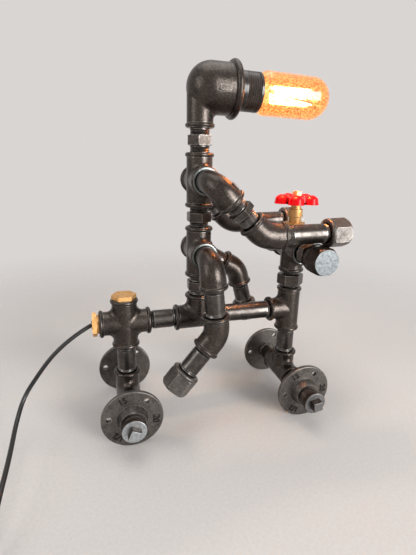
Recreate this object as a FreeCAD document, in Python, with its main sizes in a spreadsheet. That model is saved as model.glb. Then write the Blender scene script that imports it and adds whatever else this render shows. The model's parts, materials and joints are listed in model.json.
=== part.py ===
import FreeCAD, Part

import math
import os
import re

from FreeCAD import Placement, Rotation, Vector

# A table lamp screwed together from half-inch malleable-iron pipe fittings, shaped as a figure that
# rides a four-wheeled frame.  Millimetres, +Z up, +X the way it rides, left is +Y and right is -Y.
# The origin is on the table, under the middle of the lamp's length and width.

SIZES = {
    # half-inch pipe and its fittings
    "pipe_diameter": 21.3,
    "thread_diameter": 20.9,
    "thread_clearance": 0.05,
    "thread_pitch": 1.814,
    "thread_groove": 0.62,
    "pipe_bore": 16.0,
    "waterway": 18.6,
    "socket_depth": 15.0,
    "pipe_engagement": 12.5,
    "centre_to_face": 28.5,
    "body_diameter": 27.8,
    "branch_diameter": 26.8,
    "bead_diameter": 31.0,
    "bead_width": 4.8,
    "mouth_widening": 3.2,
    "mouth_depth": 1.6,
    "casting_blend": 7.0,
    "obtuse_centre_to_face": 22.2,
    "obtuse_angle": 45.0,
    "obtuse_bend_radius": 25.0,
    # hexagon nipples
    "hexagon_flats": 24.4,
    "hexagon_thickness": 9.8,
    "hexagon_corner_cut": 1.5,
    "hexagon_nipple_length": 46.5,
    "fork_hexagon_flats": 28.0,
    "fork_hexagon_thickness": 12.6,
    # street elbows
    "street_bend_radius": 17.0,
    "street_reach": 37.4,
    "street_engagement": 12.5,
    "street_shank_diameter": 23.0,
    "street_shank_gap": 2.4,
    # wheels
    "wheel_diameter": 66.0,
    "wheel_plate": 5.0,
    "wheel_edge_blend": 1.1,
    "hub_root_diameter": 34.0,
    "hub_face_diameter": 28.0,
    "hub_height": 9.0,
    "wheel_hole_diameter": 6.2,
    "wheel_hole_circle": 50.0,
    "wheel_hole_count": 3,
    "axle_gap": 24.5,
    "axle_engagement": 7.2,
    "wheel_plug_engagement": 6.4,
    "rear_plug_thread_shown": 5.7,
    "front_plug_thread_shown": 10.7,
    "plug_collar_diameter": 26.2,
    "plug_collar_thickness": 6.0,
    "plug_square": 11.0,
    "plug_square_height": 7.5,
    # chassis
    "column_gap": 31.0,
    "rear_pipe_gap": 28.4,
    "frame_pipe_gap": 62.3,
    "shown_thread": 4.0,
    # torso
    "seat_gap": 21.8,
    "waist_gap": 21.2,
    "neck_gap": 24.2,
    # brass hexagon plugs
    "plug_flats": 24.0,
    "plug_thickness": 4.6,
    "plug_thread": 9.0,
    "plug_seat_gap": 0.3,
    "cable_plug_seat_gap": 2.3,
    "cable_hole": 8.0,
    "bush_lip_diameter": 9.6,
    "bush_lip": 1.0,
    "bush_clearance": 0.05,
    # handlebar and switch
    "fork_gap": 20.6,
    "handlebar_gap": 23.1,
    "bush_hexagon_thickness": 2.6,
    "bush_thread": 11.0,
    "bonnet_foot_diameter": 14.4,
    "bonnet_foot": 6.6,
    "bonnet_diameter": 16.6,
    "bonnet_barrel": 9.7,
    "gland_diameter": 12.0,
    "gland_height": 5.7,
    "switch_diameter": 17.2,
    "switch_length": 15.0,
    "switch_neck_diameter": 10.0,
    "spindle_diameter": 6.0,
    "spindle_in_switch": 9.0,
    "handwheel_gap": 0.4,
    "handwheel_lift": 11.0,
    "handwheel_diameter": 53.0,
    "handwheel_lobes": 5,
    "first_lobe_angle": -119.0,
    "lobe_diameter": 19.0,
    "lobe_top_diameter": 16.6,
    "lobe_side": 6.6,
    "handwheel_boss": 13.0,
    "handwheel_disc": 34.0,
    "handwheel_disc_foot": 2.5,
    "handwheel_disc_top": 7.8,
    "handwheel_web": 9.4,
    "lobe_slot_length": 7.5,
    "lobe_slot_width": 3.2,
    "nut_flats": 10.0,
    "nut_thickness": 4.6,
    "spindle_shown": 0.6,
    # arms and legs
    "arm_hexagon_from_face": 8.7,
    "arm_hexagon_thickness": 6.8,
    "arm_gap": 27.2,
    "arm_hexagon_nipple_length": 51.0,
    "forearm_gap": 50.0,
    "forearm_thread_shown": 7.6,
    "arm_angle": 43.6,
    "right_thigh_angle": 84.5,
    "right_thigh_gap": 30.0,
    "right_shin_gap": 29.5,
    "left_thigh_angle": 29.8,
    "left_thigh_gap": 26.0,
    "left_shin_gap": 26.0,
    "cap_flats": 28.0,
    "cap_length": 24.5,
    "cap_rim": 4.8,
    "cap_rim_diameter": 31.8,
    "cap_corner_cut": 3.4,
    "cap_wall": 5.5,
    # head
    "neck_to_centre": 38.4,
    "head_barrel_diameter": 50.4,
    "head_back": 11.0,
    "head_mouth": 38.0,
    "head_bead_rise": 3.7,
    "head_bead_width": 7.4,
    "head_socket_diameter": 42.0,
    "head_socket_depth": 16.0,
    "head_wall": 3.8,
    "head_blend": 5.0,
    "badge_length": 12.6,
    "badge_height": 5.6,
    "badge_relief": 1.0,
    "badge_root": 1.5,
    "badge_edge": 0.5,
    "badge_forward": 19.0,
    "badge_down": 2.8,
    # lampholder and bulb
    "holder_diameter": 39.4,
    "holder_shown": 24.4,
    "holder_collar": 7.2,
    "holder_thread_pitch": 2.45,
    "holder_thread_depth": 1.0,
    "holder_clearance": 0.25,
    "holder_angle": 1.5,
    "holder_mouth": 29.0,
    "holder_floor": 13.0,
    "holder_socket_engagement": 12.5,
    "contact_sleeve_wall": 0.5,
    "contact_sleeve_length": 18.0,
    "bulb_cap_diameter": 26.2,
    "bulb_cap_length": 22.0,
    "bulb_diameter": 44.2,
    "bulb_length": 83.0,
    "bulb_wall": 1.0,
    "bulb_shoulder": 9.0,
    "bulb_gap": 0.4,
    "stem_diameter": 9.0,
    "stem_length": 14.0,
    "stem_rod_diameter": 3.0,
    "filament_start": 16.0,
    "filament_length": 46.0,
    "filament_circle": 17.0,
    "filament_wire": 0.8,
    "filament_strands": 10,
    # cable
    "lead_diameter": 4.6,
    "lead_bend": 23.0,
    "lead_aside": 5.2,
    "cord_diameter": 4.6,
    "coil_diameter": 55.0,
    "coil_turns_across": 5,
    "coil_layers": 2,
    "tie_width": 8.0,
    "tie_thickness": 0.6,
    "tie_clearance": 0.1,
    "mains_plug_width": 35.0,
    "mains_plug_thickness": 13.6,
    "mains_plug_length": 26.0,
    "mains_plug_sleeve": 22.0,
    "mains_plug_sleeve_diameter": 9.0,
    "pin_diameter": 4.0,
    "pin_length": 19.0,
    "pin_spacing": 18.6,
}


def size(name):
    """The value of one named size."""
    return SIZES[name]


def bound(text):
    """The same expression with every size read from the spreadsheet."""
    return re.sub(r"[a-z_]+", lambda word: "Sizes." + word[0] if word[0] in SIZES else word[0], text)


def add(kind, name, **expressions):
    """One object of the document with its properties bound to expressions."""
    item = doc.addObject(kind, name)
    for prop, text in expressions.items():
        item.setExpression(prop, bound(text))
    return item


TURNS = {
    "Z": Rotation(),
    "-Z": Rotation(Vector(1, 0, 0), 180),
    "X": Rotation(Vector(0, 1, 0), 90),
    "-X": Rotation(Vector(0, 1, 0), -90),
    "Y": Rotation(Vector(1, 0, 0), -90),
    "-Y": Rotation(Vector(1, 0, 0), 90),
}


def place(item, x="0", y="0", z="0", along="Z", tilt=None, turned=None):
    """Puts an object's own Z axis along an axis, or tilts it about +Y from +Z by an angle."""
    turn = turned or TURNS[along]
    item.Placement = Placement(Vector(), turn if tilt is None else Rotation(Vector(0, 1, 0), 30))
    for axis, text in zip("xyz", (x, y, z)):
        item.setExpression("Placement.Base." + axis, bound(text))
    if tilt is not None:
        item.setExpression("Placement.Rotation.Angle", bound(tilt))
    return item


def rod(diameter, length, x="0", y="0", z="0", along="Z", tilt=None):
    item = add("Part::Cylinder", "rod", Radius=f"({diameter}) / 2", Height=length)
    return place(item, x, y, z, along, tilt)


def ring(diameter, thickness, x="0", y="0", z="0", along="Z", tilt=None):
    """A round bead: diameter is its outside, thickness its section."""
    item = add("Part::Torus", "ring", Radius1=f"({diameter} - {thickness}) / 2", Radius2=f"({thickness}) / 2")
    return place(item, x, y, z, along, tilt)


def hexagon(flats, thickness, corner_cut, z="0", turn=0):
    """A hexagon prism whose corners are rounded off by a sphere, as on turned nuts."""
    prism = add("Part::Prism", "prism", Circumradius=f"{flats} / sqrt(3)", Height=thickness)
    prism.Polygon = 6
    prism.Placement = Placement(Vector(), Rotation(Vector(0, 0, 1), turn))
    prism.setExpression("Placement.Base.z", bound(z))
    half = f"({thickness}) / 2 - {corner_cut}"
    ball = add("Part::Sphere", "ball", Radius=f"sqrt(({half}) * ({half}) + ({flats}) * ({flats}) / 3)")
    place(ball, z=f"{z} + ({thickness}) / 2")
    return common(prism, ball)


def fuse(*shapes):
    if len(shapes) == 1:
        return shapes[0]
    item = doc.addObject("Part::MultiFuse", "fuse")
    item.Shapes = list(shapes)
    return item


def common(first, second):
    item = doc.addObject("Part::MultiCommon", "common")
    item.Shapes = [first, second]
    return item


def cut(base, *tools):
    item = doc.addObject("Part::Cut", "cut")
    item.Base = base
    item.Tool = fuse(*tools)
    return item


def blend(base, radius, wanted):
    """Rounds the edges of an object that the test named wanted picks out."""
    doc.recompute()
    item = doc.addObject("Part::Fillet", "blend")
    item.Base = base
    edges = enumerate(base.Shape.Edges, 1)
    item.Edges = [(number, radius, radius) for number, edge in edges if wanted(edge)]
    return item


def group(*shapes):
    item = doc.addObject("Part::Compound", "group")
    item.Links = list(shapes)
    return item


NODES = []


def node(name, item):
    """Keeps one finished sub-part under the name of its file."""
    item.Label = name
    NODES.append(item)
    return item


doc = FreeCAD.newDocument("pipe_lamp")
sheet = doc.addObject("Spreadsheet::Sheet", "Sizes")
for row, (alias, number) in enumerate(SIZES.items(), 1):
    sheet.set(f"A{row}", alias)
    sheet.set(f"B{row}", str(number))
    sheet.setAlias(f"B{row}", alias)
doc.recompute()

# Places, each an expression over the sizes.
FITTING = "2 * centre_to_face"
FRONT_REACH = f"(2 * {FITTING} + rear_pipe_gap + frame_pipe_gap + wheel_diameter / 2)"
REAR_REACH = "(centre_to_face + cable_plug_seat_gap + plug_thickness + bush_lip)"
REAR_X = f"(({REAR_REACH} - {FRONT_REACH}) / 2)"
SEAT_X = f"({REAR_X} + {FITTING} + rear_pipe_gap)"
FORK_X = f"({SEAT_X} + {FITTING} + frame_pipe_gap)"
AXLE_Z = "(wheel_diameter / 2)"
FRAME_Z = f"({AXLE_Z} + {FITTING} + column_gap)"
HIP_Z = f"({FRAME_Z} + {FITTING} + seat_gap)"
SHOULDER_Z = f"({HIP_Z} + {FITTING} + waist_gap)"
HEAD_Z = f"({SHOULDER_Z} + centre_to_face + neck_gap + neck_to_centre)"
HANDLEBAR_Z = f"({FRAME_Z} + {FITTING} + fork_gap)"
LIMB_Y = "(centre_to_face + street_reach - street_engagement)"
SOCKET = "(thread_diameter + 2 * thread_clearance)"


def widening():
    """The countersink at a socket's face, along Z from the face into the socket."""
    return add("Part::Cone", "widening", Radius1=f"({SOCKET} + mouth_widening) / 2", Radius2=f"{SOCKET} / 2",
               Height="mouth_depth")


def bores(direction, reach="centre_to_face"):
    """The waterway from a fitting's middle to one outlet, and the threaded socket there."""
    sign = "-" if direction[0] == "-" else ""
    axis = direction[-1].lower()
    start = {axis: f"{sign}({reach})"}
    back = TURNS[direction[-1] if sign else "-" + direction[-1]]
    water = rod("waterway", reach, along=direction)
    socket = place(rod(SOCKET, "socket_depth"), turned=back, **start)
    return [water, socket, place(widening(), turned=back, **start)]


def bead(direction, reach="centre_to_face"):
    """The rolled bead around one outlet."""
    sign = "-" if direction[0] == "-" else ""
    axis = direction[-1].lower()
    return ring("bead_diameter", "bead_width", along=direction[-1], **{axis: f"{sign}({reach} - bead_width / 2)"})


def is_seam(edge):
    """True for the curve where two pipes of a casting meet."""
    return not edge.Degenerated and edge.Curve.TypeId == "Part::GeomBSplineCurve"


def branched(run, branches):
    """A tee or a cross: a straight run through its middle and one or two branches."""
    body = rod("body_diameter", FITTING, along=run, **{run.lower(): "-centre_to_face"})
    arms = [rod("branch_diameter", "centre_to_face", along=branch) for branch in branches]
    cast = blend(fuse(body, *arms), size("casting_blend"), is_seam)
    outlets = [run, "-" + run] + branches
    cast = fuse(cast, *[bead(outlet) for outlet in outlets])
    return cut(cast, *[tool for outlet in outlets for tool in bores(outlet)])


def ridges(first, count, pitch, diameter, depth):
    """The turns of a thread that shows, each a ring with a sharp crest, standing on a height."""
    root = f"(({diameter}) / 2 - {depth})"
    crest = f"(({diameter}) / 2)"
    shapes = []
    for turn in range(count):
        foot = f"{first} + {pitch} * {turn}"
        rise = add("Part::Cone", "rise", Radius1=root, Radius2=crest, Height=f"{pitch} / 2")
        fall = add("Part::Cone", "fall", Radius1=crest, Radius2=root, Height=f"{pitch} / 2")
        shapes += [place(rise, z=foot), place(fall, z=f"{foot} + {pitch} / 2")]
    return shapes


def thread(first, last, length):
    """Pipe thread from one height to another: ridges where a whole turn fits, then plain.

    length is the distance as a number, which settles how many turns there are.
    """
    turns = int(length / size("thread_pitch"))
    plain = f"({first} + thread_pitch * {turns})"
    return ridges(first, turns, "thread_pitch", "thread_diameter", "thread_groove") + [
        rod("thread_diameter", f"{last} - {plain}", z=plain)]


def hexagon_nipple(length, gap, from_face, flats, thickness, turn=0):
    """Stands along Z with its first fitting's face at zero and its second one's at the gap."""
    engaged = f"(({length} - {gap}) / 2)"
    after = f"({from_face} + {thickness})"
    start = size(from_face) if from_face in SIZES else (size(gap) - size(thickness)) / 2
    shapes = [rod("thread_diameter", engaged, z=f"-{engaged}"), rod("thread_diameter", engaged, z=gap)]
    shapes += thread("0", from_face, start) + thread(after, gap, size(gap) - start - size(thickness))
    shapes.append(hexagon(flats, thickness, "hexagon_corner_cut", from_face, turn))
    return cut(fuse(*shapes), rod("pipe_bore", f"{length} + 2", z=f"-{engaged} - 1"))


def centred_nipple(length, gap, flats="hexagon_flats", thickness="hexagon_thickness", turn=0):
    return hexagon_nipple(length, gap, f"({gap} - {thickness}) / 2", flats, thickness, turn)


def pipe_nipple(gap, first_shown="shown_thread", last_shown="shown_thread", last_engagement="pipe_engagement"):
    """A length of pipe, threaded at both ends, across a gap between two faces."""
    smooth_end = f"({gap} - {last_shown})"
    shapes = [rod("thread_diameter", "pipe_engagement", z="-pipe_engagement")]
    shapes += thread("0", first_shown, size(first_shown))
    shapes.append(rod("pipe_diameter", f"{smooth_end} - {first_shown}", z=first_shown))
    shapes += thread(smooth_end, gap, size(last_shown))
    shapes.append(rod("thread_diameter", last_engagement, z=gap))
    return cut(fuse(*shapes), rod("pipe_bore", f"{gap} + 2 * pipe_engagement + 2", z="-pipe_engagement - 1"))


def bent_rod(diameter, bend_radius, bend, reach, side):
    """A round bar from below its corner, bent towards +X (side 1) or -X (side -1)."""
    tangent = f"({bend_radius} * tan({bend} / 2))"
    first = rod(diameter, f"{reach} - {tangent}", z=f"-({reach})")
    curve = add("Part::Torus", "curve", Radius1=bend_radius, Radius2=f"({diameter}) / 2", Angle3=bend)
    curve.Placement = Placement(Vector(), Rotation(Vector(-side, 0, 0), Vector(0, 0, 1), Vector(0, side, 0), "XYZ"))
    curve.setExpression("Placement.Base.x", bound(f"{side} * {bend_radius}"))
    curve.setExpression("Placement.Base.z", bound(f"-{tangent}"))
    sideways = f"{side} * {tangent} * sin({bend})"
    last = rod(diameter, f"{reach} - {tangent}", x=sideways, z=f"{tangent} * cos({bend})", tilt=f"{side} * {bend}")
    return fuse(first, curve, last)


def obtuse_elbow(side):
    """A 45 degree elbow: first outlet towards -Z, second turned from +Z towards side."""
    reach = "obtuse_centre_to_face"
    cast = bent_rod("body_diameter", "obtuse_bend_radius", "obtuse_angle", reach, side)
    back = f"({reach} - bead_width / 2)"
    turned = f"{side} * obtuse_angle"
    first_bead = ring("bead_diameter", "bead_width", z=f"-{back}")
    last_bead = ring("bead_diameter", "bead_width", x=f"{side} * {back} * sin(obtuse_angle)",
                     z=f"{back} * cos(obtuse_angle)", tilt=turned)
    depth = f"({reach} - pipe_engagement - 1)"
    water = bent_rod("pipe_bore", "obtuse_bend_radius", "obtuse_angle", f"{reach} + 1", side)
    first_socket = rod(SOCKET, "pipe_engagement + 2", z=f"-({reach}) - 1")
    last_socket = rod(SOCKET, "pipe_engagement + 2", x=f"{side} * {depth} * sin(obtuse_angle)",
                      z=f"{depth} * cos(obtuse_angle)", tilt=turned)
    first_mouth = place(widening(), z=f"-({reach})")
    last_mouth = place(widening(), x=f"{side} * {reach} * sin(obtuse_angle)", z=f"{reach} * cos(obtuse_angle)",
                       tilt=f"{side} * (180 + obtuse_angle)")
    return cut(fuse(cast, first_bead, last_bead), water, first_socket, last_socket, first_mouth, last_mouth)


def street_elbow(side):
    """A 90 degree street elbow: its male leg towards +Y (side 1) or -Y, its socket towards +Z."""
    spine = add("Part::Circle", "spine", Radius="street_bend_radius")
    spine.Angle1 = 0
    spine.Angle2 = 90
    turn = Rotation(Vector(0, 0, -1), Vector(0, -side, 0), Vector(-side, 0, 0), "XYZ")
    spine.Placement = Placement(Vector(), turn)
    spine.setExpression("Placement.Base.y", bound(f"{side} * street_bend_radius"))
    spine.setExpression("Placement.Base.z", bound("street_bend_radius"))
    narrow = add("Part::Circle", "narrow", Radius="street_shank_diameter / 2")
    place(narrow, y=f"{side} * street_bend_radius", along="Y" if side > 0 else "-Y")
    wide = add("Part::Circle", "wide", Radius="body_diameter / 2")
    place(wide, z="street_bend_radius")
    bend = doc.addObject("Part::Sweep", "bend")
    bend.Sections = [narrow, wide]
    bend.Spine = (spine, ["Edge1"])
    bend.Solid = True
    outward = "Y" if side > 0 else "-Y"
    shank_end = "(street_reach - street_engagement - street_shank_gap)"
    shank = rod("street_shank_diameter", f"{shank_end} - street_bend_radius", y=f"{side} * street_bend_radius",
                along=outward)
    male = rod("thread_diameter", f"street_reach - street_bend_radius", y=f"{side} * street_bend_radius",
               along=outward)
    female = rod("body_diameter", "centre_to_face - street_bend_radius", z="street_bend_radius")
    cast = fuse(bend, shank, male, female, bead("Z"))
    water = add("Part::Torus", "water", Radius1="street_bend_radius", Radius2="pipe_bore / 2", Angle3="90")
    water.Placement = Placement(Vector(), turn)
    water.setExpression("Placement.Base.y", bound(f"{side} * street_bend_radius"))
    water.setExpression("Placement.Base.z", bound("street_bend_radius"))
    male_bore = rod("pipe_bore", "street_reach", y=f"{side} * street_bend_radius", along=outward)
    female_bore = rod("pipe_bore", "centre_to_face", z="street_bend_radius")
    socket = rod(SOCKET, "pipe_engagement + 1", z="centre_to_face - pipe_engagement - 0.5")
    mouth = place(widening(), z="centre_to_face", along="-Z")
    return cut(cast, water, male_bore, female_bore, socket, mouth)


def cap(turn=0):
    """A malleable cap with a rim and a hexagon, its open end at zero and closed end towards +Z."""
    rim = ring("cap_rim_diameter", "cap_rim", z="cap_rim / 2")
    collar = rod("cap_rim_diameter - cap_rim", "cap_rim")
    head = hexagon("cap_flats", "cap_length - cap_rim / 2", "cap_corner_cut", "cap_rim / 2", turn)
    bore = rod(SOCKET, "cap_length - cap_wall + 1", z="-1")
    return cut(fuse(rim, collar, head), bore, widening())


# How a fitting made with its run along Z and its branch along -X is turned for each place.
AS_MADE = Rotation()
BRANCHES_SIDEWAYS = Rotation(Vector(0, 0, 1), 90)
RUN_FORWARD_BRANCH_UP = TURNS["X"]
RUN_SIDEWAYS_BRANCH_UP = Rotation(Vector(0, 0, -1), Vector(-1, 0, 0), Vector(0, 1, 0), "XYZ")


def tee(name, x, z, turned):
    node(name, place(branched("Z", ["-X"]), x=x, z=z, turned=turned))


def cross(name, x, z, turned):
    node(name, place(branched("Z", ["X", "-X"]), x=x, z=z, turned=turned))


def chassis():
    """The rolling frame: two columns on axles, and the level run of pipe between them."""
    cross("rear_cross", REAR_X, FRAME_Z, AS_MADE)
    tee("seat_tee", SEAT_X, FRAME_Z, RUN_FORWARD_BRANCH_UP)
    tee("fork_tee", FORK_X, FRAME_Z, AS_MADE)
    axle_face = f"{AXLE_Z} + centre_to_face"
    columns = [place(pipe_nipple("column_gap"), x=x, z=axle_face) for x in (REAR_X, FORK_X)]
    node("column_nipples", group(*columns))
    rear_face = f"{REAR_X} + centre_to_face"
    node("rear_frame_nipple", place(pipe_nipple("rear_pipe_gap"), x=rear_face, z=FRAME_Z, along="X"))
    seat_face = f"{SEAT_X} + centre_to_face"
    node("frame_pipe", place(pipe_nipple("frame_pipe_gap"), x=seat_face, z=FRAME_Z, along="X"))
    for end, x in (("rear", REAR_X), ("front", FORK_X)):
        tee(end + "_axle_tee", x, AXLE_Z, RUN_SIDEWAYS_BRANCH_UP)


def wheel(clock, side):
    """A floor flange on its edge as a wheel, its hub turned outwards (side -1 is the right)."""
    outward = "Y" if side > 0 else "-Y"
    plate = blend(rod("wheel_diameter", "wheel_plate", along=outward), size("wheel_edge_blend"),
                  lambda edge: edge.Curve.TypeId == "Part::GeomCircle" and edge.Closed)
    root = f"{side} * wheel_plate"
    hub = add("Part::Cone", "hub", Radius1="hub_root_diameter / 2", Radius2="hub_face_diameter / 2",
              Height="hub_height")
    place(hub, y=root, along=outward)
    tools = [rod(SOCKET, "wheel_plate + hub_height + 2", y=f"{-side}", along=outward)]
    for number in range(size("wheel_hole_count")):
        angle = f"({clock} + 360 / wheel_hole_count * {number})"
        tools.append(rod("wheel_hole_diameter", "wheel_plate + 2", f"wheel_hole_circle / 2 * cos({angle})",
                         f"{-side}", f"wheel_hole_circle / 2 * sin({angle})", outward))
    return cut(fuse(plate, hub), *tools)


def wheel_plug(shown, turn):
    """A plug with a round collar and a square head, as far above zero as its thread shows."""
    foot = rod("thread_diameter", "wheel_plug_engagement", z="-wheel_plug_engagement")
    collar = blend(rod("plug_collar_diameter", "plug_collar_thickness", z=shown), 0.8,
                   lambda edge: edge.Curve.TypeId == "Part::GeomCircle" and edge.Closed)
    square = add("Part::Prism", "square", Circumradius="plug_square / sqrt(2)", Height="plug_square_height + 1")
    square.Polygon = 4
    place(square, z=f"{shown} + plug_collar_thickness - 1", turned=Rotation(Vector(0, 0, 1), turn))
    square = blend(square, 0.6, lambda edge: True)
    return fuse(foot, *thread("0", shown, size(shown)), collar, square)


def wheels():
    """Each axle: two nipples, two flange wheels and their plugs."""
    nipples = []
    plugs = []
    hub_face = "(centre_to_face + axle_gap + wheel_plate + hub_height)"
    for end, x, clock, turn in (("rear", REAR_X, 52, 21), ("front", FORK_X, 62, 52)):
        for hand, side in (("right", -1), ("left", 1)):
            outward = "Y" if side > 0 else "-Y"
            nipple = pipe_nipple("axle_gap", last_engagement="axle_engagement")
            nipples.append(place(nipple, x, f"{side} * centre_to_face", AXLE_Z, outward))
            flange = place(wheel(clock, side), x, f"{side} * (centre_to_face + axle_gap)", AXLE_Z)
            node(f"wheel_{end}_{hand}", flange)
            plug = wheel_plug(end + "_plug_thread_shown", turn)
            plugs.append(place(plug, x, f"{side} * {hub_face}", AXLE_Z, outward))
    node("axle_nipples", group(*nipples))
    node("wheel_plugs", group(*plugs))


def brass_plug(turn):
    """A hexagon plug: head above zero, thread below."""
    head = hexagon("plug_flats", "plug_thickness", "0.9", turn=turn)
    return fuse(head, rod("thread_diameter", "plug_thread + 1", z="-plug_thread"))


def brass_plugs():
    top = f"{FRAME_Z} + centre_to_face + plug_seat_gap"
    node("rear_top_plug", place(brass_plug(2), x=REAR_X, z=top))
    seat = f"{REAR_X} - centre_to_face - cable_plug_seat_gap"
    hole = rod("cable_hole", "plug_thickness + plug_thread + 2", z="-plug_thread - 1")
    node("rear_cable_plug", place(cut(brass_plug(8), hole), x=seat, z=FRAME_Z, along="-X"))
    sleeve = rod("cable_hole - 2 * bush_clearance", "plug_thickness + plug_thread", z="-plug_thread")
    lip = rod("bush_lip_diameter", "bush_lip", z="plug_thickness")
    passage = rod("lead_diameter + 2 * bush_clearance", "plug_thickness + plug_thread + bush_lip + 2",
                  z="-plug_thread - 1")
    node("cable_bush", place(cut(fuse(sleeve, lip), passage), x=seat, z=FRAME_Z, along="-X"))


def torso():
    """Two crosses and three hexagon nipples on the seat tee."""
    cross("hip_cross", SEAT_X, HIP_Z, BRANCHES_SIDEWAYS)
    cross("shoulder_cross", SEAT_X, SHOULDER_Z, BRANCHES_SIDEWAYS)
    joints = (("seat_gap", FRAME_Z, 24), ("waist_gap", HIP_Z, 30), ("neck_gap", SHOULDER_Z, 12))
    length = "hexagon_nipple_length"
    nipples = [place(centred_nipple(length, gap, turn=turn), x=SEAT_X, z=f"{below} + centre_to_face")
               for gap, below, turn in joints]
    node("torso_hexagon_nipples", group(*nipples))


def handlebar():
    """The cross above the fork, with its caps, and the valve bonnet that holds the switch."""
    fork_face = f"{FRAME_Z} + centre_to_face"
    fork_nipple = centred_nipple("hexagon_nipple_length", "fork_gap", "fork_hexagon_flats", "fork_hexagon_thickness",
                                 turn=42)
    node("fork_hexagon_nipple", place(fork_nipple, x=FORK_X, z=fork_face))
    cross("handlebar_cross", FORK_X, HANDLEBAR_Z, BRANCHES_SIDEWAYS)
    nipples = []
    caps = []
    for side in (-1, 1):
        outward = "Y" if side > 0 else "-Y"
        nipple = centred_nipple("hexagon_nipple_length", "handlebar_gap", turn=20)
        nipples.append(place(nipple, FORK_X, f"{side} * centre_to_face", HANDLEBAR_Z, outward))
        caps.append(place(cap(), FORK_X, f"{side} * (centre_to_face + handlebar_gap)", HANDLEBAR_Z, outward))
    node("handlebar_nipples", group(*nipples))
    node("handlebar_caps", group(*caps))


TOP_FACE = f"({HANDLEBAR_Z} + centre_to_face + plug_seat_gap)"
BONNET_TOP = "(bush_hexagon_thickness + bonnet_foot + bonnet_barrel + gland_height)"
WHEEL_FOOT = f"({BONNET_TOP} + handwheel_gap)"


def bonnet():
    """Brass: a bush screwed in the cross, the bonnet on it and the switch hung below."""
    neck_hole = rod("switch_neck_diameter + 2 * bush_clearance", "60", z="-30")
    bush = fuse(hexagon("plug_flats", "bush_hexagon_thickness", "0.6"),
                rod("thread_diameter", "bush_thread + 1", z="-bush_thread"))
    node("bonnet_bush", place(cut(bush, neck_hole), x=FORK_X, z=TOP_FACE))
    foot = rod("bonnet_foot_diameter", "bonnet_foot", z="bush_hexagon_thickness")
    barrel = blend(rod("bonnet_diameter", "bonnet_barrel", z="bush_hexagon_thickness + bonnet_foot"), 0.9,
                   lambda edge: edge.Curve.TypeId == "Part::GeomCircle" and edge.Closed)
    gland = rod("gland_diameter", "gland_height + 1", z=f"{BONNET_TOP} - gland_height - 1")
    cavity = rod("switch_neck_diameter + 2 * bush_clearance", f"{BONNET_TOP} - gland_height - 3")
    shaft_hole = rod("spindle_diameter + 4 * bush_clearance", f"{BONNET_TOP} + 2", z="-1")
    node("valve_bonnet", place(cut(fuse(foot, barrel, gland), cavity, shaft_hole), x=FORK_X, z=TOP_FACE))
    body = rod("switch_diameter", "switch_length", z="-bush_thread - switch_length - 0.3")
    neck = rod("switch_neck_diameter", f"bush_thread + {BONNET_TOP} - gland_height - 3", z="-bush_thread - 1")
    well = rod("spindle_diameter + 4 * bush_clearance", f"{BONNET_TOP} + spindle_in_switch", z="-spindle_in_switch")
    node("rotary_switch", place(cut(fuse(body, neck), well), x=FORK_X, z=TOP_FACE))


def handwheel():
    """The red lobed wheel, its spindle and its nut, which turn together."""
    reach = "((handwheel_diameter - lobe_diameter) / 2)"
    dome_height = "(handwheel_lift - lobe_side)"
    dome_radius = f"(({dome_height} * {dome_height} + lobe_top_diameter * lobe_top_diameter / 4) / 2 / {dome_height})"
    lobes = []
    slots = []
    for number in range(size("handwheel_lobes")):
        turn = number * 360 / size("handwheel_lobes") + size("first_lobe_angle")
        middle_x = f"{reach} * cos({turn})"
        middle_y = f"{reach} * sin({turn})"
        side = add("Part::Cone", "side", Radius1="lobe_diameter / 2", Radius2="lobe_top_diameter / 2",
                   Height="lobe_side")
        dome = add("Part::Sphere", "dome", Radius=dome_radius, Angle1=f"asin(1 - {dome_height} / {dome_radius})")
        lobes += [place(side, middle_x, middle_y),
                  place(dome, middle_x, middle_y, f"handwheel_lift - {dome_radius}")]
        slot = add("Part::Box", "slot", Length="lobe_slot_width", Width="lobe_slot_length",
                   Height="handwheel_lift + 2")
        along = f"({reach} - lobe_slot_width / 2)"
        place(slot, f"{along} * cos({turn}) + lobe_slot_length / 2 * sin({turn})",
              f"{along} * sin({turn}) - lobe_slot_length / 2 * cos({turn})", "-1",
              turned=Rotation(Vector(0, 0, 1), turn))
        slots.append(slot)
    disc = rod("handwheel_disc", "handwheel_disc_top - handwheel_disc_foot", z="handwheel_disc_foot")
    boss = rod("handwheel_boss", "handwheel_web")
    shaped = cut(fuse(disc, *lobes), *slots)
    hole = rod("spindle_diameter", "60", z="-20")
    lift = f"{TOP_FACE} + {WHEEL_FOOT}"
    node("handwheel", place(cut(fuse(shaped, boss), hole), x=FORK_X, z=lift))
    low = "(-spindle_in_switch + 0.5)"
    top = f"({WHEEL_FOOT} + handwheel_web + nut_thickness + spindle_shown)"
    shaft = rod("spindle_diameter", f"{top} - {low}")
    node("switch_spindle", place(shaft, x=FORK_X, z=f"{TOP_FACE} + {low}"))
    nut = cut(hexagon("nut_flats", "nut_thickness", "0.6"), rod("spindle_diameter", "20", z="-5"))
    node("handwheel_nut", place(nut, x=FORK_X, z=f"{lift} + handwheel_web"))


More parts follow.
